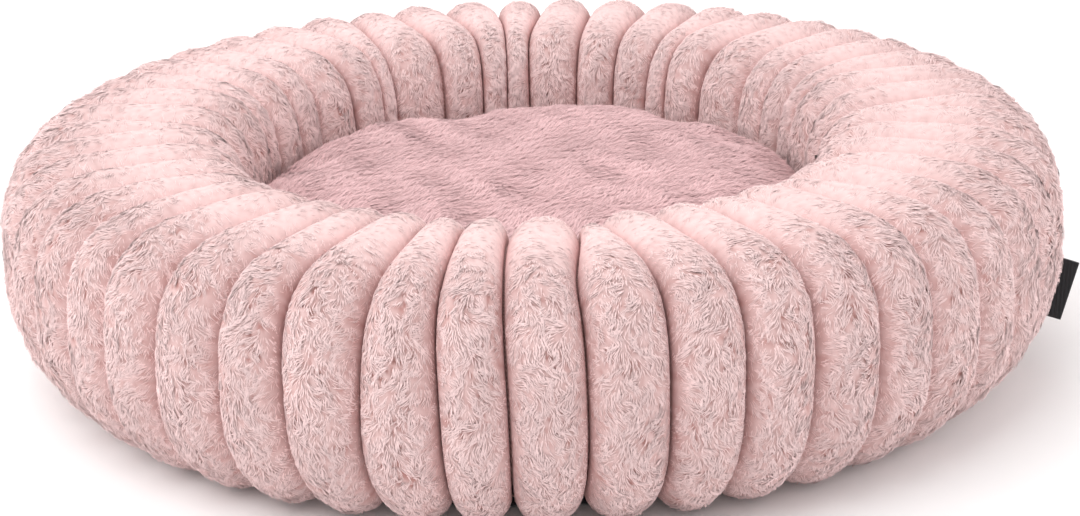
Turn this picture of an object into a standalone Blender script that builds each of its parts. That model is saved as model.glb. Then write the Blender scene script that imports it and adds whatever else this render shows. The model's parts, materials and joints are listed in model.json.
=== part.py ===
"""A round plush pet bed: a ring of stuffed ribs on a flat base, with a loose cushion inside.

Metres, +Z up. The origin is the centre of the underside, on the floor. The front of the bed faces -Y.
"""

import math

import bmesh
import bpy

# The ring of ribs
OUTER_RADIUS = 0.250  # to the ribs' crests, outside
RING_RADIUS = 0.183  # where the ring is tallest
INNER_RADIUS = 0.133  # to the ribs' crests, inside
RING_HEIGHT = 0.112  # of the full curve, before it is cut into straight runs
RIB_COUNT = 48
FIRST_GROOVE_DEG = -2.5  # measured at the front, towards +X
GROOVE_SLOPE = 0.048  # depth of a groove as a share of its radius, so 12 mm outside and 6 mm inside
SHOULDER = 0.28  # where a rib reaches its full height, as a share of the pitch from a groove

# The section of the ring is a superellipse: boxy above, round below, and flat where it stands
UPPER_POWER = 3.4
LOWER_POWER = 2.0
SECTION_LOW = -0.006  # how deep the round would reach if the floor didn't flatten it
SECTION_POINTS = 10
FOOT_HEIGHT = 0.0045  # the lowest edge of the cover and of the fibre

# Fabric, fibre and thread
COVER_THICKNESS = 0.0025
FIBRE_INSET = 0.0038  # from the ribs' crests to the fibre
FIBRE_SIDES = ((-0.36, 0.0085), (-0.20, 0.0), (0.20, 0.0), (0.36, 0.0085))  # share of pitch, further inset
FIBRE_FOOT_DRAW = 2.0  # how much more the fibre draws in towards its feet, where the cover is nearly flat
THREAD_RADIUS = 0.0005
THREAD_LIFT = 0.0021  # of the thread's middle over the bottom of its groove
THREAD_UNDERSIDE = 0.0033  # height at which the thread crosses under the ring
SEAM_RADIUS = 0.0009

# The base
BASE_RADIUS = 0.2150
BASE_THICKNESS = 0.0020
LINING_RADIUS = 0.1495
LINING_LOW = 0.0024
LINING_THICKNESS = 0.0012

# The loose cushion
CUSHION_RADIUS = 0.1290
CUSHION_LOW = 0.0042
CUSHION_SEAM_HEIGHT = 0.0400
CUSHION_TOP = 0.0820
CUSHION_PANEL = 0.0022
CUSHION_GAP = 0.0008
CUSHION_POWER = 2.9
CUSHION_STEPS = 32

# The woven label, sewn into a groove on the right
LABEL_GROOVE = 11  # counted from the first groove, towards +X
LABEL_HEIGHT = 0.030
LABEL_LENGTH = 0.0175
LABEL_THICKNESS = 0.0012
LABEL_ROOT_RADIUS = 0.2385
LABEL_CENTRE_HEIGHT = 0.036
LABEL_TILT_DEG = 14.0  # its top leans out, because the ring's wall leans out there

ROUND_STEPS = 48
SEAM_SIDES = 4

PITCH = 2 * math.pi / RIB_COUNT
HALF_HEIGHT = (RING_HEIGHT - SECTION_LOW) / 2
SECTION_CENTRE = RING_HEIGHT - HALF_HEIGHT
FOOT_TURN = math.asin(((SECTION_CENTRE - FOOT_HEIGHT) / HALF_HEIGHT) ** (LOWER_POWER / 2))


def clear_scene():
    for old in list(bpy.data.objects):
        bpy.data.objects.remove(old, do_unlink=True)


def new_collection(name):
    collection = bpy.data.collections.new(name)
    bpy.context.scene.collection.children.link(collection)
    return collection


def new_material(name, colour, roughness, sheen=0.0):
    material = bpy.data.materials.new(name)
    material.use_nodes = True
    shader = material.node_tree.nodes["Principled BSDF"]
    shader.inputs["Base Color"].default_value = (*colour, 1.0)
    shader.inputs["Roughness"].default_value = roughness
    shader.inputs["Metallic"].default_value = 0.0
    shader.inputs["Sheen Weight"].default_value = sheen
    return material


def new_object(name, data, material, collection):
    made = bpy.data.objects.new(name, data)
    made.data.materials.clear()
    made.data.materials.append(material)
    collection.objects.link(made)
    return made


def mesh_from(bm, name):
    mesh = bpy.data.meshes.new(name)
    bm.to_mesh(mesh)
    bm.free()
    return mesh


def adopt_primitive(name, material, collection):
    """Names the primitive that was just added and moves it into the bed's collection."""
    made = bpy.context.object
    for old in list(made.users_collection):
        old.objects.unlink(made)
    collection.objects.link(made)
    made.name = name
    made.data.name = name
    made.data.materials.append(material)
    return made


def on_ring(angle, radius, height):
    """A point at this angle from the front, turning towards +X."""
    return (radius * math.sin(angle), -radius * math.cos(angle), height)


def groove_angle(index):
    return math.radians(FIRST_GROOVE_DEG) + index * PITCH


def section_point(share, inset, foot_draw=0.0):
    """A point (radius, height) of the section; share runs from 0, the outer foot, to 1, the inner foot.

    The inset draws the section in from its sides and its top. The feet stay at their height.
    """
    turn = -FOOT_TURN + share * (math.pi + 2 * FOOT_TURN)
    side, rise = math.cos(turn), math.sin(turn)
    half_width = OUTER_RADIUS - RING_RADIUS if side > 0 else RING_RADIUS - INNER_RADIUS
    half_height = HALF_HEIGHT - inset if rise > 0 else HALF_HEIGHT
    power = UPPER_POWER if rise > 0 else LOWER_POWER
    across = (half_width - inset) * abs(side) ** (2 / power)
    if rise < 0:
        across -= foot_draw * inset * rise**2
    up = half_height * abs(rise) ** (2 / power)
    return RING_RADIUS + math.copysign(across, side), SECTION_CENTRE + math.copysign(up, rise)


def grooved_point(share, angle, inset):
    """The section's point pushed in by a groove's depth there, and by nothing at inset 0."""
    radius, _ = section_point(share, 0.0)
    radius, height = section_point(share, inset * radius)
    return on_ring(angle, radius, height)


def build_rim_cover(material, collection):
    columns = 3 * RIB_COUNT
    bpy.ops.mesh.primitive_torus_add(
        major_segments=columns,
        minor_segments=SECTION_POINTS,
        major_radius=RING_RADIUS,
        minor_radius=HALF_HEIGHT,
    )
    cover = adopt_primitive("rim_cover", material, collection)
    steps = (0.0, SHOULDER, 1 - SHOULDER)
    for vertex in cover.data.vertices:
        column, row = divmod(vertex.index, SECTION_POINTS)
        rib, step = divmod(column, 3)
        slope = GROOVE_SLOPE if step == 0 else 0.0
        angle = groove_angle(rib + steps[step])
        vertex.co = grooved_point(row / (SECTION_POINTS - 1), angle, slope)
    open_underside(cover.data)
    shell = cover.modifiers.new("fabric", "SOLIDIFY")
    shell.thickness = COVER_THICKNESS
    shell.offset = -1.0
    return cover


def open_underside(mesh):
    """Takes out the faces between the section's two feet."""
    bm = bmesh.new()
    bm.from_mesh(mesh)
    last = SECTION_POINTS - 1
    under = [f for f in bm.faces if {v.index % SECTION_POINTS for v in f.verts} == {0, last}]
    bmesh.ops.delete(bm, geom=under, context="FACES")
    bm.to_mesh(mesh)
    bm.free()


def fibre_mesh():
    """One rib's fibre, at the front: a ball whose rings are moved onto the rib's sections."""
    bm = bmesh.new()
    rings = len(FIBRE_SIDES)
    bmesh.ops.create_uvsphere(bm, u_segments=SECTION_POINTS, v_segments=rings + 1, radius=1.0)
    for vertex in bm.verts:
        level = math.acos(max(-1.0, min(1.0, vertex.co.z))) * (rings + 1) / math.pi
        ring = min(max(round(level) - 1, 0), rings - 1)
        side, extra = FIBRE_SIDES[ring]
        if math.hypot(vertex.co.x, vertex.co.y) < 1e-4:
            vertex.co = on_ring(side * PITCH, RING_RADIUS, SECTION_CENTRE)
            continue
        turn = math.atan2(vertex.co.y, vertex.co.x) % (2 * math.pi)
        row = round(turn * SECTION_POINTS / (2 * math.pi)) % SECTION_POINTS
        radius, height = section_point(row / (SECTION_POINTS - 1), FIBRE_INSET + extra, FIBRE_FOOT_DRAW)
        vertex.co = on_ring(side * PITCH, radius, height)
    return mesh_from(bm, "rib_fibre")


def build_fibre(material, collection):
    mesh = fibre_mesh()
    for rib in range(RIB_COUNT):
        fibre = new_object(f"rib_fibre_{rib + 1:02d}", mesh, material, collection)
        fibre.rotation_euler.z = groove_angle(rib + 0.5)


def build_channel_thread(material, collection):
    """One thread wound round the ring, a turn in each groove, crossing under the ring to the next."""
    points = []
    for rib in range(RIB_COUNT):
        for row in range(SECTION_POINTS):
            share = row / (SECTION_POINTS - 1)
            radius, _ = section_point(share, 0.0)
            radius, height = section_point(share, GROOVE_SLOPE * radius - THREAD_LIFT)
            if row in (0, SECTION_POINTS - 1):
                height = THREAD_UNDERSIDE
            points.append(on_ring(groove_angle(rib), radius, height))
    curve = bpy.data.curves.new("channel_thread", "CURVE")
    curve.dimensions = "3D"
    curve.bevel_depth = THREAD_RADIUS
    curve.bevel_resolution = 0
    spline = curve.splines.new("POLY")
    spline.points.add(len(points) - 1)
    for spot, place in zip(spline.points, points):
        spot.co = (*place, 1.0)
    spline.use_cyclic_u = True
    return new_object("channel_thread", curve, material, collection)


def build_seam_ring(name, radius, height, material, collection):
    bpy.ops.mesh.primitive_torus_add(
        major_segments=ROUND_STEPS,
        minor_segments=SEAM_SIDES,
        major_radius=radius,
        minor_radius=SEAM_RADIUS,
        location=(0, 0, height),
    )
    return adopt_primitive(name, material, collection)


def build_disc(name, radius, low, thickness, material, collection):
    bpy.ops.mesh.primitive_cylinder_add(
        vertices=ROUND_STEPS, radius=radius, depth=thickness, location=(0, 0, low + thickness / 2)
    )
    return adopt_primitive(name, material, collection)


def cushion_profile(radius, middle, end, count):
    """Points from the seam, at the rim, to the axis at the height of end, on a crowned curve."""
    points = []
    for step in range(count):
        turn = step / (count - 1) * math.pi / 2
        across = radius * math.cos(turn) ** (2 / CUSHION_POWER)
        rise = (end - middle) * math.sin(turn) ** (2 / CUSHION_POWER)
        points.append((across if step < count - 1 else 0.0, middle + rise))
    return points


def turned_object(name, profile, material, collection):
    """A profile of (radius, height) points turned about Z."""
    bm = bmesh.new()
    spots = [bm.verts.new((radius, 0.0, height)) for radius, height in profile]
    for first, second in zip(spots, spots[1:]):
        bm.edges.new((first, second))
    made = new_object(name, mesh_from(bm, name), material, collection)
    screw = made.modifiers.new("turn", "SCREW")
    screw.steps = CUSHION_STEPS
    screw.render_steps = CUSHION_STEPS
    screw.use_merge_vertices = True
    screw.merge_threshold = 0.00005
    return made


def build_cushion_panel(name, end, material, collection):
    """A plush panel from the seam to the axis: the top where end is above the seam, or the underside."""
    above = end > CUSHION_SEAM_HEIGHT
    start = CUSHION_SEAM_HEIGHT + (CUSHION_GAP if above else -CUSHION_GAP)
    profile = cushion_profile(CUSHION_RADIUS, start, end, 7)
    if above:
        profile.reverse()
    panel = turned_object(name, profile, material, collection)
    shell = panel.modifiers.new("fabric", "SOLIDIFY")
    shell.thickness = CUSHION_PANEL
    shell.offset = -1.0
    return panel


def build_cushion_fibre(material, collection):
    clear = CUSHION_PANEL + 2 * CUSHION_GAP
    radius = CUSHION_RADIUS - clear
    upper = cushion_profile(radius, CUSHION_SEAM_HEIGHT, CUSHION_TOP - clear, 6)
    lower = cushion_profile(radius, CUSHION_SEAM_HEIGHT, CUSHION_LOW + clear, 6)
    upper.reverse()
    return turned_object("cushion_fibre", upper + lower[1:], material, collection)


def build_label(material, collection):
    """A folded woven label standing out of its groove; its origin is on the line that it is sewn along."""
    angle = groove_angle(LABEL_GROOVE)
    bm = bmesh.new()
    bmesh.ops.create_cube(bm, size=1.0)
    bmesh.ops.scale(bm, vec=(LABEL_THICKNESS, LABEL_LENGTH, LABEL_HEIGHT), verts=bm.verts)
    bmesh.ops.translate(bm, vec=(0, -LABEL_LENGTH / 2, 0), verts=bm.verts)
    label = new_object("side_label", mesh_from(bm, "side_label"), material, collection)
    label.location = on_ring(angle, LABEL_ROOT_RADIUS, LABEL_CENTRE_HEIGHT)
    label.rotation_euler = (math.radians(LABEL_TILT_DEG), 0.0, angle)
    bevel = label.modifiers.new("fold", "BEVEL")
    bevel.width = 0.0004
    bevel.segments = 2
    return label


def main():
    clear_scene()
    bed = new_collection("pet_bed")
    plush = new_material("plush", (0.69, 0.49, 0.47), 0.95, sheen=0.4)
    fibre = new_material("fibre", (0.86, 0.85, 0.83), 1.0)
    thread = new_material("thread", (0.62, 0.42, 0.41), 0.7)
    anti_slip = new_material("anti_slip", (0.035, 0.035, 0.040), 0.85)
    lining = new_material("lining", (0.62, 0.45, 0.44), 0.9)
    woven = new_material("woven_label", (0.012, 0.012, 0.014), 0.65)

    build_rim_cover(plush, bed)
    build_fibre(fibre, bed)
    build_channel_thread(thread, bed)
    build_disc("base_panel", BASE_RADIUS, 0.0, BASE_THICKNESS, anti_slip, bed)
    build_disc("base_lining", LINING_RADIUS, LINING_LOW, LINING_THICKNESS, lining, bed)
    build_seam_ring("base_seam", BASE_RADIUS + 2 * SEAM_RADIUS, SEAM_RADIUS * 1.2, thread, bed)
    build_seam_ring("lining_seam", LINING_RADIUS + 2 * SEAM_RADIUS, LINING_LOW + SEAM_RADIUS, thread, bed)

    build_cushion_panel("cushion_top", CUSHION_TOP, plush, bed)
    build_cushion_panel("cushion_underside", CUSHION_LOW, lining, bed)
    build_cushion_fibre(fibre, bed)
    build_seam_ring("cushion_seam", CUSHION_RADIUS + 2 * SEAM_RADIUS, CUSHION_SEAM_HEIGHT, thread, bed)
    build_label(woven, bed)


main()
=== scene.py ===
"""A round plush pet bed: its plush ribs, cushion, cloths and woven label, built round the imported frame.

Every rib is a closed, stuffed body that carries its own pile of modelled strands, because the bed's look is
its pile. A strand is placed in its rib's own coordinates (along the section, across the rib, up through the
pile), so the pile keeps to its rib, lies one way and gathers into tufts.
"""

import json
import math

import bmesh
import bpy
import numpy as np
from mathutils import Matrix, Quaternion, Vector


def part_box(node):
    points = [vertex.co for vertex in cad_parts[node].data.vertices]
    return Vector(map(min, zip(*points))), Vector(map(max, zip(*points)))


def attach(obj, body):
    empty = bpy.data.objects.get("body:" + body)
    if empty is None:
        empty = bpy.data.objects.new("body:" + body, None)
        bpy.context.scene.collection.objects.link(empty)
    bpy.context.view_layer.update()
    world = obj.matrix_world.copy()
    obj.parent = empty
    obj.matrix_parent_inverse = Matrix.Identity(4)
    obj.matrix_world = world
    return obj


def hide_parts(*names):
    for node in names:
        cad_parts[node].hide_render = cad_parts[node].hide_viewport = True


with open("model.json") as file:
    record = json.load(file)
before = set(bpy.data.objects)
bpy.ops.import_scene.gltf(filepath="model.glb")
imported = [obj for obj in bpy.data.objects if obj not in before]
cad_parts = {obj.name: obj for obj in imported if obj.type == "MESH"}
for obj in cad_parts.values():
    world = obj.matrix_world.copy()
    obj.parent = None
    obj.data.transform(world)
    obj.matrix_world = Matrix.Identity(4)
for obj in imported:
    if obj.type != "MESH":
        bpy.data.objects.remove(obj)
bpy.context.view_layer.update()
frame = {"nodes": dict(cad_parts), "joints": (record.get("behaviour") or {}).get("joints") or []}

# Sizes read from the frame
COVER_LOW, COVER_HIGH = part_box("rim_cover")
CUSHION_LOW, CUSHION_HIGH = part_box("cushion_top")
UNDERSIDE_LOW, UNDERSIDE_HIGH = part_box("cushion_underside")
BASE_LOW, BASE_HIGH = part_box("base_panel")
LINING_LOW, LINING_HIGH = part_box("base_lining")
OUTER_RADIUS = (COVER_HIGH[0] - COVER_LOW[0]) / 2
CUSHION_RADIUS = (CUSHION_HIGH[0] - CUSHION_LOW[0]) / 2
BASE_RADIUS = (BASE_HIGH[0] - BASE_LOW[0]) / 2
LINING_RADIUS = (LINING_HIGH[0] - LINING_LOW[0]) / 2
RIB_NAMES = sorted(n for n in frame["nodes"] if n.startswith("rib_fibre_"))
RIB_COUNT = len(RIB_NAMES)
PITCH = 2 * math.pi / RIB_COUNT
FIRST_GROOVE = math.radians(-2.5)

# The section of the ring, as the pile's tips reach it
RING_RADIUS = 0.732 * OUTER_RADIUS
INNER_RADIUS = 0.532 * OUTER_RADIUS
SECTION_TOP = COVER_HIGH[2] + 0.0050
SECTION_LOW = -0.0045
SECTION_HALF = (SECTION_TOP - SECTION_LOW) / 2
SECTION_MIDDLE = SECTION_TOP - SECTION_HALF
FOOT_TURN = math.radians(64)
UPPER_POWER = 3.4
LOWER_POWER = 2.1
SECTION_LEAST = 0.004        # the least half width or half height of a section that is drawn in
SECTION_SAMPLES = 3001
GROUND_GAP = 0.0006
BASE_EDGE = 0.001
FOOT_PILE = 0.001            # how much higher the tips rest than the skin, under the ring's foot

# The ribs: the bulge of each between its grooves, and how they wander and crowd
BULGE_POWER = 2.1
BULGE_SLOPE = 0.44           # depth of the groove as a share of the rib's width
GROOVE_ROWS = 64
WEDGE_SHIFTS = {0: -0.16, 1: 0.34, 2: -0.36}     # listed grooves moved on the inner side, in pitches
OUTER_WANDER, INNER_CROWDING = 0.10, 0.36        # how far grooves move at random, in pitches
GROOVE_WAVE = 0.05
CROWDED_BELOW, CROWDED_SINK = 0.8, 0.40          # a rib narrower than this share of the pitch lies deeper
CROWDED_LIMITS = (-0.001, 0.007)
SKIN_SQUEEZE = 0.955
TIP_SQUEEZE = 0.985

# The pile: its depth over the skin, how far its tips lean, gather into tufts, stray and sink
RIB_PILE = {"depth": 0.0030, "lean": 0.0044, "gather": 0.40, "stray": 0.0006, "ragged": 0.0003}
RIB_TUFT = (0.0042, 0.0028)
TUFT_LEAN = 0.0020           # how far whole tufts lean their own ways
TUFT_DIP = 0.22              # how steeply the pile falls away from the middle of a tuft
PIT_DEPTH = 0.0010           # how far the pile sinks where it parts
PIT_GROUP, PIT_SPOT = 0.020, 0.0034              # how far apart groups of pits are, and the pits in them
UNDER_STRANDS, UNDER_WIDTH = 2600, 0.00080
OVER_STRANDS, OVER_WIDTH = 10000, 0.00042
UNDER_REACH, OVER_REACH = 0.80, 1.0
SKIN_ROWS, SKIN_COLUMNS, SKIN_LEVEL = 160, 39, 0.60
ROOT_LEVEL, MIDDLE_LEVEL, TIP_LEVEL = 0.50, 0.64, 0.68
MIDDLE_RISE, TIP_RISE = 0.08, 0.20               # what the open face of a rib adds to those levels
MIDDLE_LEAN = 0.40           # the share of its lean that a strand has at its middle
LEAN_SPREAD = (0.7, 1.2)
WIDTH_SPREAD = (0.75, 1.25)
ROOF_HEIGHT = 0.16           # height of a strand's ridge, as a share of its width
CREST_THINNER = 0.75         # the share of the strands that the sleek crest goes without
HIDDEN_SHARE, HIDDEN_STRANDS = 0.86, 0.3         # beyond it the cushion hides the rib, with few strands

# The cushion: its skin, the cloth that it swells as, and its pile
CUSHION_SKIN_RADIUS = CUSHION_RADIUS + 0.0055
CUSHION_REACH = CUSHION_RADIUS + 0.0090
CUSHION_PILE = {"depth": 0.0026, "lean": 0.0044, "gather": 0.40, "stray": 0.0006, "ragged": 0.0003}
CUSHION_TUFT = (0.0052, 0.0026)
CUSHION_TUFT_LEAN = 0.0012
CUSHION_UNDER, CUSHION_OVER = 22000, 46000
CUSHION_UNDER_WIDTH, CUSHION_UNDER_REACH = 0.0009, 0.85
CUSHION_ROOT_DEPTH = 0.0008
CUSHION_MIDDLE, CUSHION_TIP = 0.35, 0.60         # how far up the pile's depth they stand
CUSHION_SKIN_TOP = CUSHION_HIGH[2] - CUSHION_PILE["depth"] + 0.0035
CUSHION_SEAM_HEIGHT = UNDERSIDE_HIGH[2]
UNDER_CLOTH = 0.0008
CUSHION_FLOOR = UNDERSIDE_LOW[2] + UNDER_CLOTH + 0.0004
CUSHION_CROWN = 0.003
CUSHION_POWER = 10           # how boxy the cushion's side is
CLOTH_FRAMES = 20
CLOTH_CAP = 0.003
CLOTH_SHRINK = 0.0015
CLOTH_VOXEL = 0.0045
CLOTH_PRESSURE = 4.0
CLOTH_MASS = 0.3

# The camera
CAMERA_DISTANCE = 1.179
CAMERA_ELEVATION_DEG = 18.98
CAMERA_LENS_MM = 81.75
CAMERA_ROLL_DEG = -1.37
CAMERA_AIM = (0.0030, 0.0, 0.0390)
CAMERA_ORBIT_CENTRE = (0.0, 0.0, 0.057)
CAMERA_SENSOR_MM = 36

# The stage: a wide pale floor, a white surround and soft lamps, each with its place, size and watts
FLOOR_SIZE, FLOOR_DROP, FLOOR_ALBEDO = 16, 0.0005, 0.93
SURROUND = 0.74
LAMPS_AIM = (0, 0, 0.05)
LAMPS = {
    "key_light": ((-0.9, -1.0, 2.2), 1.8, 30),
    "front_fill": ((0.3, -2.3, 0.95), 1.5, 6),
    "right_fill": ((2.3, 0.2, 0.85), 1.5, 19),
    "left_fill": ((-2.3, 0.2, 0.85), 1.5, 20),
    "back_fill": ((0.0, 2.3, 1.2), 1.5, 20),
}

# Cloths, threads and the label
BASE_TUCK = 0.020            # how far the base's edge is tucked in under the pile
GROUND_CLOTH = 0.0010
THREAD_RADIUS = 0.00040
EDGE_BEND = 0.012            # radius of the bend at the foot of the cushion's side
LABEL_HEIGHT, LABEL_LENGTH, LABEL_FOLD, LABEL_PLY = 0.0295, 0.0160, 0.0007, 0.0004
LABEL_SUNK = 0.004           # how far the label goes in past its root
LABEL_CURL = 0.0009
LABEL_STITCH = {"from_root": 0.0012, "length": 0.0017, "radius": 0.00014, "hump": 0.00015}

# How the pile is coloured: a UV's first number is a strand's tone, its second the height on the colour ramp
UV_LAYER = "OFBake"
PILE_NORMAL = 0.80           # how far strands are shaded as the pile and not each by itself
BENT_HEIGHTS = (0.30, 0.55, 0.55, 0.65, 0.90)
STRAIGHT_HEIGHTS = (0.40, 0.40, 0.45, 0.85)
# The skin stands lower on the ramp than the strands, and so darker: painted shade under the pile
SKIN_HEIGHT, BODY_HEIGHT, TIP_HEIGHT = 0.35, 0.55, 0.90
CREST_PAINTED_LIGHT_HEIGHT = 0.18          # painted light: how much further up the ramp, and so paler, the skin stands on the crest of the ring
MIDDLE_TONE = 0.5
TONE_LIMITS = (0.03, 0.97)
TONE_SCALE = (0.86, 1.12)
# painted light: how much paler the tone of strands and skin is painted on the crest of the ring, where the
# light falls on its top
CREST_PAINTED_LIGHT = 0.22
# painted shade: how much darker the tone of strands is painted in the pits where the pile parts
PIT_PAINTED_SHADE = 0.30
SKIN_TUFT_TONE, RIB_TUFT_TONE, CUSHION_TUFT_TONE = 0.22, 0.18, 0.22
RIB_STRAND_TONE, CUSHION_STRAND_TONE = 0.05, 0.08
RIB_PATCH_TONE, CUSHION_PATCH_TONE = 0.08, 0.10
TINY = 1e-9


# ---------- numbers ----------


def smooth_noise(points, wavelength, seed, terms=14):
    """A smooth random field in space, from about -2 to 2: a sum of waves in random directions."""
    rng = np.random.default_rng(seed)
    ways = rng.normal(size=(terms, 3))
    ways /= np.linalg.norm(ways, axis=1)[:, None]
    ways *= (2 * math.pi / wavelength) * rng.uniform(0.7, 1.4, size=(terms, 1))
    starts = rng.uniform(0, 2 * math.pi, terms)
    total = np.zeros(len(points))
    for way, start in zip(ways, starts):
        total += np.cos(points @ way + start)
    return total * math.sqrt(2 / terms)


def hash_unit(cells, seed):
    """Three repeatable random numbers from 0 to 1 for each row of whole numbers."""
    mixed = cells[:, 0] * 73856093 ^ cells[:, 1] * 19349663 ^ cells[:, 2] * 83492791 ^ seed * 2654435761
    made = []
    for turn in range(3):
        mixed = (mixed ^ (mixed >> 13)) * 1274126177 & 0x7FFFFFFF
        mixed = mixed ^ (mixed >> 16)
        made.append((mixed & 0xFFFFF) / 0xFFFFF)
        mixed = mixed + turn * 374761393 & 0x7FFFFFFF
    return np.stack(made, axis=1)


def nearest_tuft(flat, layer, size, seed):
    """Where the middle of each point's own tuft lies from it, with the tuft's three random numbers."""
    spots = flat / np.array(size)
    cells = np.floor(spots).astype(np.int64)
    best = np.full(len(flat), np.inf)
    toward = np.zeros_like(flat)
    traits = np.zeros((len(flat), 3))
    for offset in ((x, y) for x in (-1, 0, 1) for y in (-1, 0, 1)):
        around = cells + np.array(offset)
        keyed = np.column_stack([around, np.full(len(flat), layer)])
        gap = around + hash_unit(keyed, seed)[:, :2] - spots
        far = np.linalg.norm(gap, axis=1)
        closer = far < best
        best[closer] = far[closer]
        toward[closer] = gap[closer]
        traits[closer] = hash_unit(keyed[closer], seed + 1)
    return toward * np.array(size), traits


def unit(vectors):
    return vectors / np.maximum(np.linalg.norm(vectors, axis=-1, keepdims=True), TINY)


def smooth_step(value):
    value = np.clip(value, 0, 1)
    return value * value * (3 - 2 * value)


# ---------- meshes ----------


def mesh_object(name, points, triangles, uvs, normals, material):
    """A smooth mesh of triangles, with a UV and a shading normal for each point, if any are given."""
    mesh = bpy.data.meshes.new(name)
    mesh.vertices.add(len(points))
    mesh.vertices.foreach_set("co", points.astype(np.float32).ravel())
    mesh.loops.add(triangles.size)
    mesh.loops.foreach_set("vertex_index", triangles.astype(np.int32).ravel())
    mesh.polygons.add(len(triangles))
    mesh.polygons.foreach_set("loop_start", np.arange(0, triangles.size, 3, dtype=np.int32))
    mesh.update(calc_edges=True)
    if uvs is not None:
        layer = mesh.uv_layers.new(name=UV_LAYER)
        layer.uv.foreach_set("vector", uvs[triangles.ravel()].astype(np.float32).ravel())
    mesh.shade_smooth()
    if normals is not None:
        mesh.normals_split_custom_set_from_vertices(normals)
    mesh.materials.append(material)
    made = bpy.data.objects.new(name, mesh)
    bpy.context.scene.collection.objects.link(made)
    return made


def joined(*parts):
    """Several (points, triangles, uvs, normals) as one."""
    starts = np.cumsum([0] + [len(part[0]) for part in parts])
    triangles = [part[1] + start for part, start in zip(parts, starts)]
    points, uvs, normals = (np.concatenate([part[slot] for part in parts]) for slot in (0, 2, 3))
    return points, np.concatenate(triangles), uvs, normals


def point_normals(points, triangles):
    corners = points[triangles]
    faces = np.cross(corners[:, 1] - corners[:, 0], corners[:, 2] - corners[:, 0])
    total = np.zeros_like(points)
    for corner in range(3):
        np.add.at(total, triangles[:, corner], faces)
    return unit(total)


def plain_uvs(points, tone, height):
    """The UV of bare cloth under a pile: one tone, at one height between root and tip."""
    return np.tile(np.array([tone, height]), (len(points), 1))


def strand_sides(roots, tips, normals):
    """The direction beside each strand, and the one square to it that faces out of the pile."""
    along = unit(tips - roots)
    side = unit(np.cross(along, normals))
    return side, np.cross(side, along)


def strand_mesh(points, pattern, heights, tones, normals):
    """Strands of one pattern as a mesh, shaded mostly as the pile, as light scatters through its fibres."""
    count, corners, _ = points.shape
    triangles = (np.arange(count)[:, None, None] * corners + np.array(pattern)[None]).reshape(-1, 3)
    uvs = np.stack([np.repeat(tones[:, None], corners, axis=1), np.tile(heights, (count, 1))], axis=-1)
    outward = unit(points - points.mean(axis=1, keepdims=True))
    shaded = unit(PILE_NORMAL * normals[:, None, :] + (1 - PILE_NORMAL) * outward)
    return points.reshape(-1, 3), triangles, uvs.reshape(-1, 2), shaded.reshape(-1, 3)


def bent_strands(roots, middles, tips, widths, tones, normals):
    """Closed strands, each bent at its middle, where it is a low roof with its ridge to the outside."""
    side, over = strand_sides(roots, tips, normals)
    reach = widths[:, None]
    left, right = middles - 0.5 * reach * side, middles + 0.5 * reach * side
    points = np.stack([roots, left, right, middles + ROOF_HEIGHT * reach * over, tips], axis=1)
    pattern = [(0, 3, 1), (0, 2, 3), (0, 1, 2), (4, 1, 3), (4, 3, 2), (4, 2, 1)]
    return strand_mesh(points, pattern, BENT_HEIGHTS, tones, normals)


def straight_strands(roots, middles, tips, widths, tones, normals):
    """Closed strands, each a low roof that is widest at its foot and runs out straight to its tip."""
    side, over = strand_sides(roots, tips, normals)
    reach = widths[:, None]
    foot = 0.5 * roots + 0.5 * middles
    left, right = foot - 0.5 * reach * side, foot + 0.5 * reach * side
    points = np.stack([left, right, foot + ROOF_HEIGHT * reach * over, tips], axis=1)
    pattern = [(0, 1, 2), (3, 0, 2), (3, 2, 1), (3, 1, 0)]
    return strand_mesh(points, pattern, STRAIGHT_HEIGHTS, tones, normals)


def ring_faces(loops, steps, closed_up):
    """Triangles over a grid of loops, each of so many steps; closed_up joins the last loop to the first."""
    faces = []
    for loop in range(loops if closed_up else loops - 1):
        for step in range(steps):
            a = loop * steps + step
            b = loop * steps + (step + 1) % steps
            c = (loop + 1) % loops * steps + step
            d = (loop + 1) % loops * steps + (step + 1) % steps
            faces += [(a, b, c), (b, d, c)]
    return np.array(faces)


def capped_faces(loops, steps):
    """Triangles over a grid of loops and fans over its two ends, whose middles are the last two points."""
    step = np.arange(steps)
    after = (step + 1) % steps
    first, last, top = loops * steps, loops * steps + 1, (loops - 1) * steps
    opening = np.column_stack([np.full(steps, first), after, step])
    closing = np.column_stack([np.full(steps, last), top + step, top + after])
    return np.concatenate([ring_faces(loops, steps, False), opening, closing])


# ---------- the ring ----------


def section_at(turn, inset):
    """Radius and height of the section, drawn in by inset, at a turn up from the outside."""
    side, rise = np.cos(turn), np.sin(turn)
    half_width = np.where(side > 0, OUTER_RADIUS - RING_RADIUS, RING_RADIUS - INNER_RADIUS)
    power = np.where(rise > 0, UPPER_POWER, LOWER_POWER)
    across = np.maximum(half_width - inset, SECTION_LEAST) * np.abs(side) ** (2 / power)
    up = np.maximum(SECTION_HALF - inset, SECTION_LEAST) * np.abs(rise) ** (2 / power)
    return RING_RADIUS + np.copysign(across, side), SECTION_MIDDLE + np.copysign(up, rise)


def section_measure():
    """The section's turns, how far along it each one is, its length, and the share where its crest lies."""
    turns = np.linspace(-FOOT_TURN, math.pi + FOOT_TURN, SECTION_SAMPLES)
    radius, height = section_at(turns, RIB_PILE["depth"] / 2)
    run = np.concatenate([[0], np.cumsum(np.hypot(np.diff(radius), np.diff(height)))])
    return turns, run / run[-1], run[-1], np.interp(math.pi / 2, turns, run / run[-1])


SECTION_TURNS, SECTION_SHARES, SECTION_LENGTH, CREST_SHARE = section_measure()


def section_point(share, inset):
    """Radius and height of the section, drawn in by inset; share runs 0..1 from outer to inner foot."""
    return section_at(np.interp(share, SECTION_SHARES, SECTION_TURNS), inset)


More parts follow.
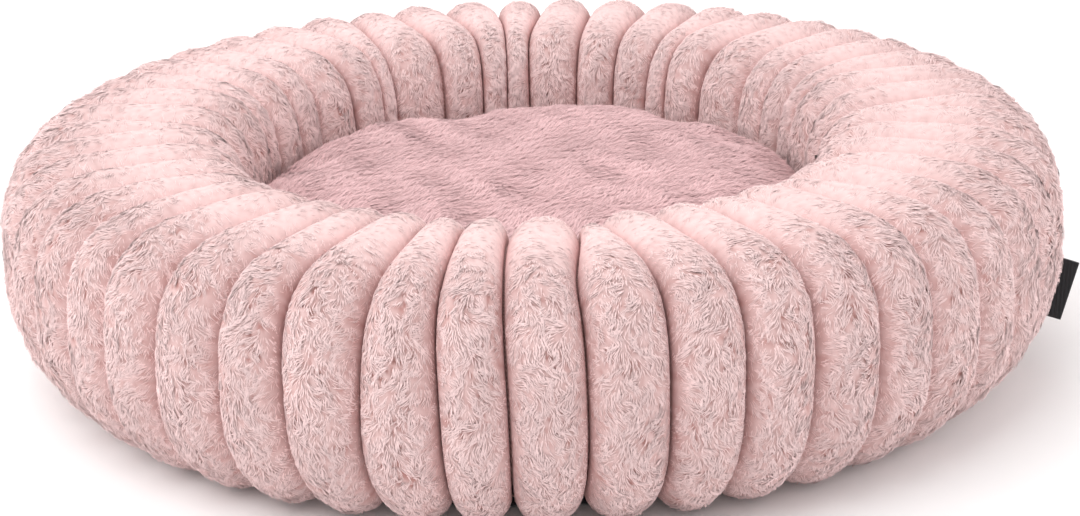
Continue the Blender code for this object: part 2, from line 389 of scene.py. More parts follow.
def groove_table():
    """The angle of every groove at rows along the section, from the outer foot to the inner one."""
    rng = np.random.default_rng(11)
    share = np.linspace(0, 1, GROOVE_ROWS)
    inner = smooth_step((share - CREST_SHARE + 0.13) / 0.26)
    table = np.empty((RIB_COUNT + 1, GROOVE_ROWS))
    for index in range(RIB_COUNT):
        outer_shift = rng.uniform(-OUTER_WANDER, OUTER_WANDER)
        inner_shift = WEDGE_SHIFTS.get(index, rng.uniform(-INNER_CROWDING, INNER_CROWDING))
        wave = GROOVE_WAVE * np.sin(2 * math.pi * (share * rng.uniform(0.8, 1.8) + rng.uniform(0, 1)))
        shift = outer_shift * (1 - inner) + inner_shift * inner + wave
        table[index] = FIRST_GROOVE + PITCH * (index + shift)
    table[RIB_COUNT] = table[0] + 2 * math.pi
    return table


GROOVES = groove_table()


def rib_surface(rib, share, across, level, sink=0.0):
    """Points in a rib's pile: across runs -1..1 between its grooves, level 0..1 from skin to tips."""
    share = np.clip(share, 0, 1)
    across = np.clip(across, -1, 1)
    rows = np.linspace(0, 1, GROOVE_ROWS)
    left = np.interp(share, rows, GROOVES[rib])
    right = np.interp(share, rows, GROOVES[rib + 1])
    middle_radius, _ = section_point(share, 0 * share)
    width = (right - left) * middle_radius
    fall = 1 - (1 - np.abs(across) ** BULGE_POWER) ** (1 / BULGE_POWER)
    crowded = np.clip((CROWDED_BELOW * PITCH * middle_radius - width) * CROWDED_SINK, *CROWDED_LIMITS)
    inset = RIB_PILE["depth"] * (1 - level) + BULGE_SLOPE * width * fall + crowded + sink
    radius, height = section_point(share, inset)
    squeeze = SKIN_SQUEEZE + (TIP_SQUEEZE - SKIN_SQUEEZE) * level
    angle = left + (right - left) * (across * squeeze + 1) / 2
    rest = np.where(radius > BASE_RADIUS - BASE_EDGE, GROUND_GAP, BASE_HIGH[2] + GROUND_GAP)
    height = np.maximum(height, rest + FOOT_PILE * level)
    return np.stack([radius * np.sin(angle), -radius * np.cos(angle), height], axis=-1)


def rib_flat(rib, share, across):
    """A rib's places on its cloth laid flat, and how much of share and of across a metre takes there."""
    span = rib_surface(rib, share, 1.0, 1.0) - rib_surface(rib, share, -1.0, 1.0)
    across_rate = 2 / np.maximum(np.linalg.norm(span, axis=1), SECTION_LEAST)
    return np.stack([share * SECTION_LENGTH, across / across_rate], axis=1), 1 / SECTION_LENGTH, across_rate


def crest_of(share):
    """How near a place is to the crest of the ring: 1 on it, 0 on the walls."""
    return 1 - smooth_step(np.abs(share - CREST_SHARE) * 6)


def face_of(share, across):
    """How open the pile is: 1 on the face of a rib's walls, less on its crest and towards its grooves."""
    return np.clip(np.abs(share - CREST_SHARE) * 7, 0, 1) * (1 - across**2)


def pit_of(crown, share, across):
    """Where the pile parts, 0 to 1: small spots in loose groups on the faces of the ribs."""
    group = smooth_step((smooth_noise(crown, PIT_GROUP, 25) + 0.1) / 1.2)
    spot = smooth_step((smooth_noise(crown, PIT_SPOT, 27) - 0.1) / 1.0)
    return group * spot * face_of(share, across)


def rib_skin(rib):
    """A closed stuffed rib under its pile, dimpled between the tufts, with a point closing each side."""
    row = np.arange(SKIN_ROWS) / (SKIN_ROWS - 1)
    steps = np.sin(np.linspace(-1, 1, SKIN_COLUMNS) * math.pi / 2)
    across, share = np.meshgrid(steps, row, indexing="ij")
    across, share = across.ravel(), share.ravel()
    flat, _, _ = rib_flat(rib, share, across)
    toward, traits = nearest_tuft(flat, rib, RIB_TUFT, 5)
    off_tuft = np.linalg.norm(toward, axis=1)
    crown = rib_surface(rib, share, across, 1.0)
    pit = pit_of(crown, share, across)
    dimple = TUFT_DIP * off_tuft * (0.35 + 0.65 * face_of(share, across)) + PIT_DEPTH * pit
    loops = rib_surface(rib, share, across, SKIN_LEVEL, dimple)
    first_loop, last_loop = loops[:SKIN_ROWS], loops[-SKIN_ROWS:]
    points = np.concatenate([loops, [first_loop.mean(axis=0)], [last_loop.mean(axis=0)]])
    faces = capped_faces(SKIN_COLUMNS, SKIN_ROWS)
    # Painted shade: the skin is painted darker, down the ramp, between the tufts and in the pits; it is
    # painted paler on the crest as painted light
    lit = np.clip(1 - 0.5 * off_tuft / RIB_TUFT[1] - 0.8 * pit, 0.05, 1)
    uvs = plain_uvs(points, MIDDLE_TONE, SKIN_HEIGHT)
    uvs[:-2, 0] = MIDDLE_TONE + SKIN_TUFT_TONE * (traits[:, 2] - 0.5) + CREST_PAINTED_LIGHT * crest_of(share)
    uvs[:-2, 1] = SKIN_HEIGHT * lit + CREST_PAINTED_LIGHT_HEIGHT * crest_of(share)
    return points, faces, uvs, point_normals(points, faces)


def seen_places(count, rng):
    """Places on a rib: few on its sleek crest, and few on its inner foot, which the cushion hides."""
    tried = count * 4
    share = rng.uniform(0, 1, tried)
    turned = 0.6 * math.pi / 2
    across = np.sin(rng.uniform(-1, 1, tried) * turned) / math.sin(turned)
    wanted = np.where(share > HIDDEN_SHARE, HIDDEN_STRANDS, 0.85 + 0.15 * face_of(share, across))
    kept = rng.uniform(0, 1, tried) < wanted * (1 - CREST_THINNER * crest_of(share))
    return share[kept][:count], across[kept][:count]


def nap_of(share, crown):
    """Which way the pile lies, along and across a rib: down both walls, and aslant on the crest."""
    down = np.clip((share - CREST_SHARE) * 9, -1, 1)
    turn = np.arccos(down) + 0.45 * smooth_noise(crown, 0.028, 21) + 0.45 * smooth_noise(crown, 0.008, 26)
    return np.stack([np.cos(turn), np.sin(turn)], axis=1)


def rib_pile(rib, count, width, reach, seed):
    """Root, middle and tip of each strand on one rib, with its width, its tone and the way out."""
    rng = np.random.default_rng(seed)
    share, across = seen_places(count, rng)
    small = 0.01
    crown = rib_surface(rib, share, across, 1.0)
    along = rib_surface(rib, share + small, across, 1.0) - rib_surface(rib, share - small, across, 1.0)
    sideways = rib_surface(rib, share, across + small, 1.0) - rib_surface(rib, share, across - small, 1.0)
    normals = unit(np.cross(sideways, along))
    flat, share_rate, across_rate = rib_flat(rib, share, across)
    toward, traits = nearest_tuft(flat, rib, RIB_TUFT, 5)
    offset = RIB_PILE["lean"] * nap_of(share, crown) + RIB_PILE["gather"] * toward
    offset += TUFT_LEAN * (traits[:, :2] - 0.5)
    offset += RIB_PILE["stray"] * rng.normal(size=(count, 2))
    offset = unit(offset) * (RIB_PILE["lean"] * rng.uniform(*LEAN_SPREAD, count))[:, None]
    share_step, across_step = offset[:, 0] * share_rate, offset[:, 1] * across_rate
    face = face_of(share, across)
    pit = pit_of(crown, share, across)
    sink = RIB_PILE["ragged"] * face * (smooth_noise(crown, 0.009, 23) + rng.normal(size=count) * 0.5)
    sink += PIT_DEPTH * pit
    sink += np.linalg.norm(toward, axis=1) * TUFT_DIP + (1 - reach) * RIB_PILE["depth"]
    roots = rib_surface(rib, share, across, ROOT_LEVEL, 0.8 * sink)
    mids = rib_surface(rib, share + MIDDLE_LEAN * share_step, across + MIDDLE_LEAN * across_step,
                       MIDDLE_LEVEL + MIDDLE_RISE * face, 0.9 * sink)
    tips = rib_surface(rib, share + share_step, across + across_step, TIP_LEVEL + TIP_RISE * face, sink)
    tone = MIDDLE_TONE + RIB_TUFT_TONE * (traits[:, 2] - 0.5) + rng.normal(size=count) * RIB_STRAND_TONE
    tone += RIB_PATCH_TONE * smooth_noise(crown, 0.05, 24)
    # Painted light and shade: strands are painted paler on the crest and darker in the pits
    tone += CREST_PAINTED_LIGHT * crest_of(share) - PIT_PAINTED_SHADE * pit
    widths = width * rng.uniform(*WIDTH_SPREAD, count)
    return roots, mids, tips, widths, np.clip(tone, *TONE_LIMITS), normals


def build_rib(rib, material):
    under = straight_strands(*rib_pile(rib, UNDER_STRANDS, UNDER_WIDTH, UNDER_REACH, 1000 + rib))
    over = bent_strands(*rib_pile(rib, OVER_STRANDS, OVER_WIDTH, OVER_REACH, 2000 + rib))
    made = mesh_object(f"plush_rib_{rib + 1:02d}", *joined(rib_skin(rib), under, over), material)
    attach(made, "bed")
    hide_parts(RIB_NAMES[rib], "rim_cover")


# ---------- the cushion ----------


def cushion_form():
    """The cushion's stuffed form before it swells: a boxy disc, crowned on top, on a flat underside."""
    loops, steps = 40, 120
    turn = np.linspace(0, 2 * math.pi, steps, endpoint=False)
    rise = np.linspace(-math.pi / 2, math.pi / 2, loops + 2)[1:-1]
    half = (CUSHION_SKIN_TOP - CUSHION_CROWN - CUSHION_FLOOR) / 2
    middle = CUSHION_FLOOR + half
    radius = (CUSHION_SKIN_RADIUS - CLOTH_SHRINK) * np.cos(rise) ** (2 / CUSHION_POWER)
    height = half * np.copysign(np.abs(np.sin(rise)) ** (2 / CUSHION_POWER), rise)
    share = radius / CUSHION_SKIN_RADIUS
    crown = np.where(rise > 0, CUSHION_CROWN * (1 - share**2), 0)
    points = [np.stack([r * np.cos(turn), r * np.sin(turn), np.full(steps, middle + h + c)], axis=1)
              for r, h, c in zip(radius, height, crown)]
    points = np.concatenate(points)
    points[:, 2] += np.where(points[:, 2] > middle, 0.0008 * smooth_noise(points, 0.075, 51), 0)
    points = np.concatenate([points, [[0, 0, CUSHION_FLOOR], [0, 0, CUSHION_SKIN_TOP]]])
    return points, capped_faces(loops, steps)


def points_of(made):
    found = np.empty(len(made.data.vertices) * 3, dtype=np.float32)
    made.data.vertices.foreach_get("co", found)
    return found.reshape(-1, 3).astype(np.float64)


def swell(made):
    """Fill a closed form with air as a cloth bag, and keep its shape, with no point moved past the cap."""
    remesh = made.modifiers.new("remesh", "REMESH")
    remesh.mode = "VOXEL"
    remesh.voxel_size = CLOTH_VOXEL
    bpy.context.view_layer.objects.active = made
    bpy.ops.object.modifier_apply(modifier=remesh.name)
    start = points_of(made)
    bag = made.modifiers.new("cloth", "CLOTH")
    bag.settings.use_pressure = True
    bag.settings.uniform_pressure_force = CLOTH_PRESSURE
    bag.settings.mass = CLOTH_MASS
    bag.settings.effector_weights.gravity = 0
    for frame_number in range(1, CLOTH_FRAMES + 1):
        bpy.context.scene.frame_set(frame_number)
    bpy.ops.object.modifier_apply(modifier=bag.name)
    moved = points_of(made) - start
    far = np.linalg.norm(moved, axis=1, keepdims=True)
    kept = start + moved * np.minimum(1, CLOTH_CAP / np.maximum(far, TINY))
    kept[:, 2] = np.maximum(kept[:, 2], CUSHION_FLOOR)
    made.data.vertices.foreach_set("co", kept.astype(np.float32).ravel())
    made.data.update()
    bpy.context.scene.frame_set(1)


def cushion_skin(material):
    shape = mesh_object("cushion_skin_form", *cushion_form(), None, None, material)
    swell(shape)
    mesh = bmesh.new()
    mesh.from_mesh(shape.data)
    bmesh.ops.triangulate(mesh, faces=mesh.faces[:])
    bmesh.ops.recalc_face_normals(mesh, faces=mesh.faces[:])
    mesh.normal_update()
    points = np.array([v.co[:] for v in mesh.verts])
    normals = np.array([v.normal[:] for v in mesh.verts])
    triangles = np.array([[v.index for v in f.verts] for f in mesh.faces])
    mesh.free()
    bpy.data.objects.remove(shape)
    return points, triangles, normals


def places_on(skin, count, rng):
    """Random places on the cushion's skin above its seam, and the way out of the skin at each."""
    points, triangles, normals = skin
    corners = points[triangles]
    area = np.linalg.norm(np.cross(corners[:, 1] - corners[:, 0], corners[:, 2] - corners[:, 0]), axis=1)
    area = area * (corners[:, :, 2].min(axis=1) > CUSHION_SEAM_HEIGHT)
    chosen = rng.choice(len(triangles), count, p=area / area.sum())
    a, b = rng.uniform(size=(2, count))
    over = a + b > 1
    a[over], b[over] = 1 - a[over], 1 - b[over]
    weights = np.stack([1 - a - b, a, b], axis=1)[:, :, None]
    places = (corners[chosen] * weights).sum(axis=1)
    return places, unit((normals[triangles[chosen]] * weights).sum(axis=1))


def cushion_pile(skin, count, width, reach, seed):
    """Root, middle and tip of each strand on the cushion, with its width, its tone and the way out."""
    rng = np.random.default_rng(seed)
    roots, up = places_on(skin, count, rng)
    toward, traits = nearest_tuft(roots[:, :2], 0, CUSHION_TUFT, 9)
    nap_x = 1.0 + 0.25 * smooth_noise(roots, 0.040, 31)
    nap_y = 0.35 + 0.35 * smooth_noise(roots, 0.030, 32)
    offset = CUSHION_PILE["lean"] * np.stack([nap_x, nap_y], axis=1) + CUSHION_PILE["gather"] * toward
    offset += CUSHION_TUFT_LEAN * (traits[:, :2] - 0.5) + CUSHION_PILE["stray"] * rng.normal(size=(count, 2))
    offset = unit(offset) * (CUSHION_PILE["lean"] * rng.uniform(*LEAN_SPREAD, count))[:, None]
    lean = np.column_stack([offset, np.zeros(count)])
    lean -= up * (lean * up).sum(axis=1)[:, None]
    depth = CUSHION_PILE["depth"] * reach * (1 + 0.10 * smooth_noise(roots, 0.010, 33))
    depth += rng.normal(size=count) * CUSHION_PILE["ragged"] - TUFT_DIP * np.linalg.norm(toward, axis=1)
    mids = roots + up * (CUSHION_MIDDLE * depth)[:, None] + lean * MIDDLE_LEAN
    tips = roots + up * (CUSHION_TIP * depth)[:, None] + lean
    for spots in (mids, tips):
        far_out = np.linalg.norm(spots[:, :2], axis=1)
        spots[:, :2] *= np.minimum(1, CUSHION_REACH / np.maximum(far_out, TINY))[:, None]
    tone = MIDDLE_TONE + CUSHION_TUFT_TONE * (traits[:, 2] - 0.5)
    tone += rng.normal(size=count) * CUSHION_STRAND_TONE + CUSHION_PATCH_TONE * smooth_noise(roots, 0.05, 34)
    widths = width * rng.uniform(*WIDTH_SPREAD, count)
    return roots - up * CUSHION_ROOT_DEPTH, mids, tips, widths, np.clip(tone, *TONE_LIMITS), up


def build_cushion(material):
    skin = cushion_skin(material)
    points, triangles, normals = skin
    bare = (points, triangles, plain_uvs(points, MIDDLE_TONE, SKIN_HEIGHT), normals)
    under_pile = cushion_pile(skin, CUSHION_UNDER, CUSHION_UNDER_WIDTH, CUSHION_UNDER_REACH, 77)
    over_pile = cushion_pile(skin, CUSHION_OVER, OVER_WIDTH, OVER_REACH, 78)
    strands = straight_strands(*under_pile), bent_strands(*over_pile)
    made = mesh_object("cushion_plush", *joined(bare, *strands), material)
    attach(made, "cushion")
    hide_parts("cushion_top", "cushion_fibre")


# ---------- cloths, threads and the label ----------


def lathe(profile, steps, ripple=None):
    """A closed surface turned round Z from a closed profile of (radius, height); ripple moves its points."""
    turn = np.linspace(0, 2 * math.pi, steps, endpoint=False)
    profile = np.array(profile)
    radius, height = np.repeat(profile[:, 0], steps), np.repeat(profile[:, 1], steps)
    turns = np.tile(turn, len(profile))
    points = np.stack([radius * np.sin(turns), -radius * np.cos(turns), height], axis=1)
    if ripple is not None:
        points = ripple(points, radius, turns)
    return points, ring_faces(len(profile), steps, True)[:, ::-1]


def disc_profile(radius, low, high, hole=0.0004, rings=30):
    """The closed profile of a thin round cloth, as near to its middle as a hole too small to see."""
    out = np.linspace(hole, radius, rings)
    rim = (high - low) / 2
    top = [(r, high) for r in out[::-1]]
    bottom = [(r, low) for r in out]
    return bottom + [(radius + rim, low + rim)] + top


def cloth(name, points, triangles, material, body, slot, nodes):
    made = mesh_object(name, points, triangles, None, None, material)
    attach(made, body)
    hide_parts(*nodes)
    return made


def build_base_cloth(material):
    """The anti-slip base, stretched over the ring's foot, with slack puckers towards its sewn edge."""
    def pucker(points, radius, turns):
        deep = 0.00025 * smooth_step((radius - 0.6 * BASE_RADIUS) / (0.4 * BASE_RADIUS))
        points[:, 2] += deep * np.clip(smooth_noise(points, 0.018, 61), -1.6, 1.6)
        points[:, 2] = np.maximum(points[:, 2], 0)
        return points

    reach = BASE_RADIUS - BASE_TUCK
    profile = disc_profile(reach, 0.0004, BASE_HIGH[2] - 0.0004)
    made = cloth("base_cloth", *lathe(profile, 240, pucker), material, "bed", "anti_slip", ["base_panel"])


def build_lining_cloth(material):
    """The lining of the well's floor, laid over the base and sewn down round the ring's inner foot."""
    def slack(points, radius, turns):
        points[:, 2] += 0.0003 * smooth_noise(points, 0.030, 62) * (radius < 0.97 * LINING_RADIUS)
        return points

    profile = disc_profile(LINING_RADIUS - 0.001, LINING_LOW[2] + 0.0003, LINING_HIGH[2] - 0.0003)
    made = cloth("lining_cloth", *lathe(profile, 200, slack), material, "bed", "lining", ["base_lining"])


def build_under_cloth(material):
    """The cushion's plain underside: a shallow cloth bowl from its seam down and across its floor."""
    low = UNDERSIDE_LOW[2]
    middle = CUSHION_SKIN_RADIUS - EDGE_BEND
    inner = [(r, low + UNDER_CLOTH) for r in np.linspace(0.0004, middle, 24)]
    for bend in np.linspace(-math.pi / 2, 0, 9)[1:]:
        rise = EDGE_BEND + EDGE_BEND * math.sin(bend)
        inner.append((middle + EDGE_BEND * math.cos(bend), low + UNDER_CLOTH + rise))
    inner += [(CUSHION_SKIN_RADIUS, h) for h in np.linspace(low + 1.5 * EDGE_BEND, UNDERSIDE_HIGH[2], 6)]
    side_from = low + 0.5 * EDGE_BEND
    outer = []
    for radius, height in inner:
        radius_out = UNDER_CLOTH if height > side_from else 0
        height_down = UNDER_CLOTH if height < side_from else 0
        outer.append((radius + radius_out, height - height_down))

    def gather(points, radius, turns):
        side = smooth_step((radius - 0.8 * CUSHION_RADIUS) / (0.2 * CUSHION_RADIUS))
        points[:, :2] *= (1 + side * 0.0035 * (np.sin(turns * 67) - 1) * 0.5)[:, None]
        return points

    profile = outer + inner[::-1]
    made = cloth("cushion_under_cloth", *lathe(profile, 536, gather), material, "cushion", "lining",
                 ["cushion_underside"])


def build_cover_ground(material):
    """The cover's ground cloth, seen only at the bottom of the grooves: one thin ring, open at its foot."""
    share = np.linspace(0.01, 0.99, 60)
    radius, _ = section_point(share, 0 * share)
    sunk = RIB_PILE["depth"] + BULGE_SLOPE * PITCH * radius + 0.0015
    outer = np.column_stack(section_point(share, sunk))
    inner = np.column_stack(section_point(share, sunk + GROUND_CLOTH))
    profile = np.concatenate([outer, inner[::-1]])
    profile[:, 1] = np.maximum(profile[:, 1], BASE_HIGH[2] + GROUND_GAP)

    def wander(points, radius, turns):
        points += 0.0004 * smooth_noise(points, 0.02, 63)[:, None]
        return points

    made = cloth("cover_ground", *lathe(profile, 288, wander), material, "bed", "plush", ["rim_cover"])


def tubes(paths, radius, sides=6):
    """Closed tubes along open paths of points, all of one radius."""
    points, triangles, start = [], [], 0
    turn = np.linspace(0, 2 * math.pi, sides, endpoint=False)
    for path in paths:
        along = unit(np.gradient(path, axis=0))
        side = unit(np.cross(along, np.array([0.17, 0.21, 0.96])))
        other = np.cross(along, side)
        round_it = np.cos(turn)[None, :, None] * side[:, None] + np.sin(turn)[None, :, None] * other[:, None]
        body = (path[:, None] + radius * round_it).reshape(-1, 3)
        ends = np.array([path[0] - along[0] * radius, path[-1] + along[-1] * radius])
        points += [body, ends]
        triangles.append(capped_faces(len(path), sides) + start)
        start += len(body) + len(ends)
    return np.concatenate(points), np.concatenate(triangles)


def build_groove_threads(material):
    """The thread that gathers the cover, pulled down each groove from the outer foot to the inner one."""
    rows = np.linspace(0, 1, GROOVE_ROWS)
    share = np.linspace(0.03, 0.97, 70)
    radius, _ = section_point(share, 0 * share)
    sunk = RIB_PILE["depth"] + BULGE_SLOPE * PITCH * radius - 0.0002
    paths = []
    for line in GROOVES[:RIB_COUNT]:
        angle = np.interp(share, rows, line)
        out, height = section_point(share, sunk)
        height = np.maximum(height, BASE_HIGH[2] + GROUND_GAP + THREAD_RADIUS)
        paths.append(np.stack([out * np.sin(angle), -out * np.cos(angle), height], axis=1))
    cloth("groove_threads", *tubes(paths, THREAD_RADIUS), material, "bed", "thread", ["channel_thread"])


def stitch_ring(radius, height, count, length, slant=0.0):
    """Short paths of single stitches round a circle, each humped where it leaves the cloth."""
    paths = []
    for index in range(count):
        middle = 2 * math.pi * index / count
        bend = np.linspace(-0.5, 0.5, 7)
        angle = middle + bend * length / radius
        out = radius + slant * bend
        lift = height + THREAD_RADIUS * 1.2 * (1 - (2 * bend) ** 4)
        paths.append(np.stack([out * np.sin(angle), -out * np.cos(angle), lift], axis=1))
    return paths


def build_seams(material):
    """The stitches that hold the base and the lining, and the rolled seam round the cushion."""
    base_ring = BASE_RADIUS - BASE_TUCK - 0.006
    base = stitch_ring(base_ring, BASE_HIGH[2] - 0.0002, 300, 0.0032)
    cloth("base_stitches", *tubes(base, THREAD_RADIUS), material, "bed", "thread", ["base_seam"])
    lining = stitch_ring(LINING_RADIUS - 0.007, LINING_HIGH[2], 220, 0.0030, slant=0.0008)
    cloth("lining_stitches", *tubes(lining, THREAD_RADIUS), material, "bed", "thread", ["lining_seam"])
    turn = np.linspace(0, 2 * math.pi, 12, endpoint=False)
    middle, thick = CUSHION_SKIN_RADIUS + 0.0009, 0.0013
    piping = [(middle + thick * math.cos(t), UNDERSIDE_HIGH[2] + thick * math.sin(t)) for t in turn]

    def wobble(points, radius, turns):
        points[:, 2] += 0.0006 * np.sin(turns * 5 + 1) + 0.0003 * np.sin(turns * 67)
        return points

    cloth("cushion_piping", *lathe(piping, 536, wobble), material, "cushion", "thread", ["cushion_seam"])


def build_label(material, stitch_material):
    """A folded woven strip without marks, its fold outward, and the stitches that hold its root."""
    joint = next(j for j in frame["joints"] if j["name"] == "label_flap")
    root, axis = np.array(joint["pos_m"]), unit(np.array(joint["axis"]))
    radial = np.array([root[0], root[1], 0.0])
    outward = unit(radial - axis * (radial @ axis))
    through = np.cross(outward, axis)
    bend = np.linspace(-math.pi / 2, math.pi / 2, 9)
    run = np.linspace(0, 1, 16)
    length = LABEL_LENGTH - LABEL_FOLD
    out = -LABEL_SUNK + (length + LABEL_SUNK) * run
    apart = LABEL_PLY + (LABEL_FOLD - LABEL_PLY) * smooth_step(run)
    section = [(o, -a) for o, a in zip(out, apart)]
    section += [(length + LABEL_FOLD * math.cos(b), LABEL_FOLD * math.sin(b)) for b in bend[1:-1]]
    section += [(o, a) for o, a in zip(out[::-1], apart[::-1])]
    section = np.array(section)
    points = []
    for row in np.linspace(-0.5, 0.5, 31) * LABEL_HEIGHT:
        curl = LABEL_CURL * (section[:, 0] / length) ** 2 * (1 + 0.8 * row / LABEL_HEIGHT)
        spot = root + section[:, :1] * outward + (section[:, 1:] + curl[:, None]) * through + row * axis
        points.append(spot)
    faces = capped_faces(len(points), len(section))
    flat = np.concatenate(points + [[points[0].mean(axis=0)], [points[-1].mean(axis=0)]])
    made = mesh_object("woven_label", flat, faces, None, None, material)
    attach(made, "label")
    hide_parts("side_label")
    paths = []
    bend = np.linspace(-0.5, 0.5, 6)
    hump = (LABEL_PLY + LABEL_STITCH["hump"] * (1 - (2 * bend) ** 4))[:, None]
    for face in (-1, 1):
        for row in np.linspace(-0.44, 0.44, 12) * LABEL_HEIGHT:
            along = (row + bend * LABEL_STITCH["length"])[:, None] * axis
            paths.append(root + LABEL_STITCH["from_root"] * outward + face * hump * through + along)
    stitch = tubes(paths, LABEL_STITCH["radius"], 5)
    stitches = mesh_object("label_stitches", *stitch, None, None, stitch_material)
    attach(stitches, "bed")


# ---------- materials ----------


def srgb(r, g, b):
    def linear(v):
        v /= 255
        return v / 12.92 if v <= 0.04045 else ((v + 0.055) / 1.055) ** 2.4

    return (linear(r), linear(g), linear(b), 1.0)


def plush_material(name, root, body, tip, skin):
    """Pile: its colour runs from root to tip by way of the skin's, and each strand has its own tone."""
    material = bpy.data.materials.new(name)
    material.use_nodes = True
    nodes, links = material.node_tree.nodes, material.node_tree.links
    shader = nodes["Principled BSDF"]
    shader.inputs["Roughness"].default_value = 0.9
    shader.inputs["Specular IOR Level"].default_value = 0.0
    spot = nodes.new("ShaderNodeUVMap")
    spot.uv_map = UV_LAYER
    split = nodes.new("ShaderNodeSeparateXYZ")
    links.new(spot.outputs["UV"], split.inputs[0])
    ramp = nodes.new("ShaderNodeValToRGB")
    ramp.color_ramp.elements[0].position = 0.0
    ramp.color_ramp.elements[0].color = root
    ramp.color_ramp.elements[1].position = TIP_HEIGHT
    ramp.color_ramp.elements[1].color = tip
    for place, colour in ((SKIN_HEIGHT, skin), (BODY_HEIGHT, body)):
        stop = ramp.color_ramp.elements.new(place)
        stop.color = colour
    links.new(split.outputs["Y"], ramp.inputs["Fac"])
    tone = nodes.new("ShaderNodeMapRange")
    tone.inputs["To Min"].default_value = TONE_SCALE[0]
    tone.inputs["To Max"].default_value = TONE_SCALE[1]
    links.new(split.outputs["X"], tone.inputs["Value"])
    mix = nodes.new("ShaderNodeVectorMath")
    mix.operation = "SCALE"
    links.new(ramp.outputs["Color"], mix.inputs[0])
    links.new(tone.outputs["Result"], mix.inputs["Scale"])
    links.new(mix.outputs["Vector"], shader.inputs["Base Color"])
    return material


def cloth_material(name, yarn, gap, pitch, roughness, bump, sheen=0.2, dots=None):
    """Plain woven cloth: crossing yarns of one pitch, in relief, with raised dots if asked."""
    material = bpy.data.materials.new(name)
    material.use_nodes = True
    nodes, links = material.node_tree.nodes, material.node_tree.links
    shader = nodes["Principled BSDF"]
    shader.inputs["Roughness"].default_value = roughness
    shader.inputs["Specular IOR Level"].default_value = 0.3
    shader.inputs["Sheen Weight"].default_value = sheen
    place = nodes.new("ShaderNodeTexCoord")
    crossed = nodes.new("ShaderNodeMath")
    crossed.operation = "MAXIMUM"
    for slot, direction in enumerate("XY"):
        yarns = nodes.new("ShaderNodeTexWave")
        yarns.bands_direction = direction
        yarns.inputs["Scale"].default_value = 2 * math.pi / (20 * pitch)
        yarns.inputs["Distortion"].default_value = 0.6
        yarns.inputs["Detail"].default_value = 1.0
        links.new(place.outputs["Object"], yarns.inputs["Vector"])
        links.new(yarns.outputs["Fac"], crossed.inputs[slot])
    blotch = nodes.new("ShaderNodeTexNoise")
    blotch.inputs["Scale"].default_value = 30
    links.new(place.outputs["Object"], blotch.inputs["Vector"])
    ramp = nodes.new("ShaderNodeValToRGB")
    ramp.color_ramp.elements[0].color = gap
    ramp.color_ramp.elements[0].position = 0.25
    ramp.color_ramp.elements[1].color = yarn
    ramp.color_ramp.elements[1].position = 0.8
    links.new(crossed.outputs[0], ramp.inputs["Fac"])
    tone = nodes.new("ShaderNodeMapRange")
    tone.inputs["To Min"].default_value = 0.85
    tone.inputs["To Max"].default_value = 1.12
    links.new(blotch.outputs["Fac"], tone.inputs["Value"])
    shade = nodes.new("ShaderNodeVectorMath")
    shade.operation = "SCALE"
    links.new(ramp.outputs["Color"], shade.inputs[0])
    links.new(tone.outputs["Result"], shade.inputs["Scale"])
    colour, relief = shade.outputs["Vector"], crossed.outputs[0]
    if dots is not None:
        spots = nodes.new("ShaderNodeTexVoronoi")
        spots.inputs["Scale"].default_value = 1 / dots["pitch"]
        spots.inputs["Randomness"].default_value = 0.0
        links.new(place.outputs["Object"], spots.inputs["Vector"])
        inside = nodes.new("ShaderNodeMath")
        inside.operation = "LESS_THAN"
        inside.inputs[1].default_value = dots["radius"] / dots["pitch"]
        links.new(spots.outputs["Distance"], inside.inputs[0])
        mix = nodes.new("ShaderNodeMix")
        mix.data_type = "RGBA"
        links.new(inside.outputs[0], mix.inputs["Factor"])
        links.new(colour, mix.inputs["A"])
        mix.inputs["B"].default_value = dots["colour"]
        raised = nodes.new("ShaderNodeMath")
        raised.operation = "ADD"
        links.new(inside.outputs[0], raised.inputs[0])
        links.new(relief, raised.inputs[1])
        colour, relief = mix.outputs["Result"], raised.outputs[0]
    links.new(colour, shader.inputs["Base Color"])
    height = nodes.new("ShaderNodeBump")
    height.inputs["Strength"].default_value = bump
    height.inputs["Distance"].default_value = 0.0003
    links.new(relief, height.inputs["Height"])
    links.new(height.outputs["Normal"], shader.inputs["Normal"])
    return material


def thread_material(name, light, dark, twist):
    """Spun thread: its plies wind round it as slanting bands of light and dark."""
    material = bpy.data.materials.new(name)
    material.use_nodes = True
    nodes, links = material.node_tree.nodes, material.node_tree.links
    shader = nodes["Principled BSDF"]
    shader.inputs["Roughness"].default_value = 0.55
    shader.inputs["Sheen Weight"].default_value = 0.3
    place = nodes.new("ShaderNodeTexCoord")
    plies = nodes.new("ShaderNodeTexWave")
    plies.bands_direction = "DIAGONAL"
    plies.inputs["Scale"].default_value = 2 * math.pi / (20 * twist)
    plies.inputs["Distortion"].default_value = 1.0
    ramp = nodes.new("ShaderNodeValToRGB")
    ramp.color_ramp.elements[0].color = dark
    ramp.color_ramp.elements[1].color = light
    links.new(place.outputs["Object"], plies.inputs["Vector"])
    links.new(plies.outputs["Fac"], ramp.inputs["Fac"])
    links.new(ramp.outputs["Color"], shader.inputs["Base Color"])
    return material


# ---------- stage ----------


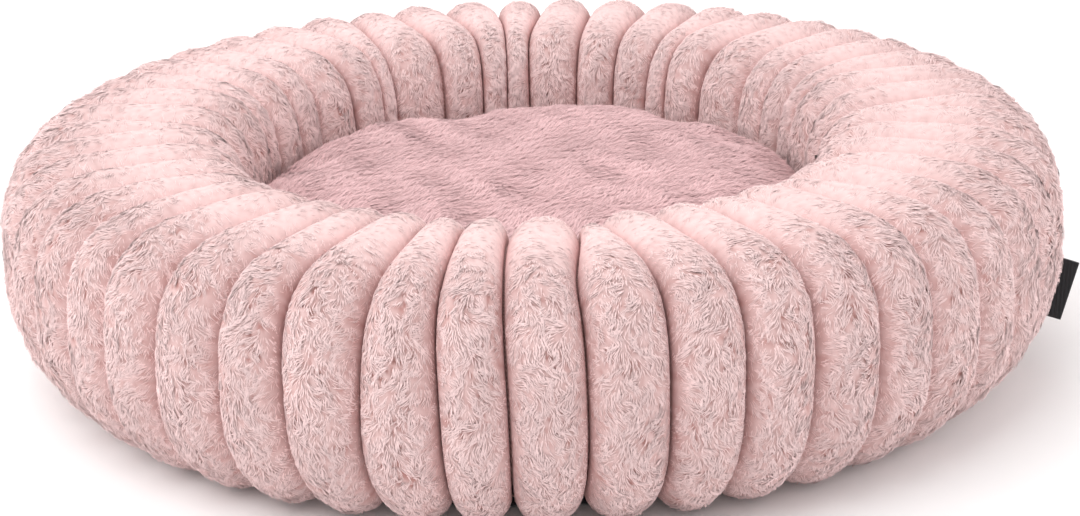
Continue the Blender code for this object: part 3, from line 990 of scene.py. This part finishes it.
def build_stage():
    bpy.ops.mesh.primitive_plane_add(size=FLOOR_SIZE, location=(0, 0, -FLOOR_DROP))
    floor = bpy.context.object
    floor.name = "studio_floor"
    material = bpy.data.materials.new("studio_floor")
    material.use_nodes = True
    shader = material.node_tree.nodes["Principled BSDF"]
    shader.inputs["Base Color"].default_value = (FLOOR_ALBEDO, FLOOR_ALBEDO, FLOOR_ALBEDO, 1)
    shader.inputs["Roughness"].default_value = 0.9
    floor.data.materials.append(material)
    world = bpy.data.worlds.new("studio")
    bpy.context.scene.world = world
    world.use_nodes = True
    background = world.node_tree.nodes["Background"]
    background.inputs["Color"].default_value = (1, 1, 1, 1)
    background.inputs["Strength"].default_value = SURROUND
    for name, (place, size, power) in LAMPS.items():
        light = bpy.data.lights.new(name, "AREA")
        light.size = size
        light.energy = power
        lamp = bpy.data.objects.new(name, light)
        lamp.location = place
        lamp.rotation_euler = (Vector(LAMPS_AIM) - Vector(place)).to_track_quat("-Z", "Y").to_euler()
        bpy.context.scene.collection.objects.link(lamp)


def build_camera():
    camera = bpy.data.cameras.new("camera")
    camera.lens = CAMERA_LENS_MM
    camera.sensor_width = CAMERA_SENSOR_MM
    camera.clip_start = 0.05
    made = bpy.data.objects.new("camera", camera)
    lift = math.radians(CAMERA_ELEVATION_DEG)
    away = Vector((0, -math.cos(lift), math.sin(lift))) * CAMERA_DISTANCE
    made.location = Vector(CAMERA_ORBIT_CENTRE) + away
    aim = (Vector(CAMERA_AIM) - made.location).to_track_quat("-Z", "Y")
    made.rotation_mode = "QUATERNION"
    made.rotation_quaternion = aim @ Quaternion((0, 0, 1), math.radians(CAMERA_ROLL_DEG))
    bpy.context.scene.collection.objects.link(made)
    bpy.context.scene.camera = made


build_camera()
build_stage()
bpy.context.scene.view_settings.view_transform = "Standard"
# The root's and skin's colours are darker than the body's: partly the pile's own colour, partly painted
# shade deep in and under the pile
rib_plush = plush_material(
    "rib_plush", srgb(180, 128, 122), srgb(237, 205, 203), srgb(247, 219, 218), srgb(218, 188, 186)
)
cushion_plush = plush_material(
    "cushion_plush", srgb(194, 134, 133), srgb(234, 191, 192), srgb(243, 207, 208), srgb(214, 174, 175)
)
ground_knit = cloth_material("ground_knit", srgb(214, 160, 152), srgb(176, 120, 114), 0.0009, 0.9, 0.5)
lining_weave = cloth_material("lining_weave", srgb(222, 184, 180), srgb(190, 146, 142), 0.0008, 0.8, 0.6)
rubber_dots = {"pitch": 0.0075, "radius": 0.0016, "colour": srgb(44, 44, 47)}
anti_slip = cloth_material(
    "anti_slip_weave", srgb(58, 58, 62), srgb(26, 26, 29), 0.0008, 0.75, 0.7, 0.1, rubber_dots
)
label_weave = cloth_material("label_satin", srgb(34, 34, 37), srgb(17, 17, 19), 0.0005, 0.42, 0.6, 0.1)
rose_thread = thread_material("rose_thread", srgb(214, 168, 162), srgb(180, 130, 124), 0.0012)
grey_thread = thread_material("grey_thread", srgb(92, 92, 96), srgb(52, 52, 56), 0.0008)
for number in range(RIB_COUNT):
    build_rib(number, rib_plush)
build_cushion(cushion_plush)
build_cover_ground(ground_knit)
build_groove_threads(rose_thread)
build_base_cloth(anti_slip)
build_lining_cloth(lining_weave)
build_under_cloth(lining_weave)
build_seams(rose_thread)
build_label(label_weave, grey_thread)
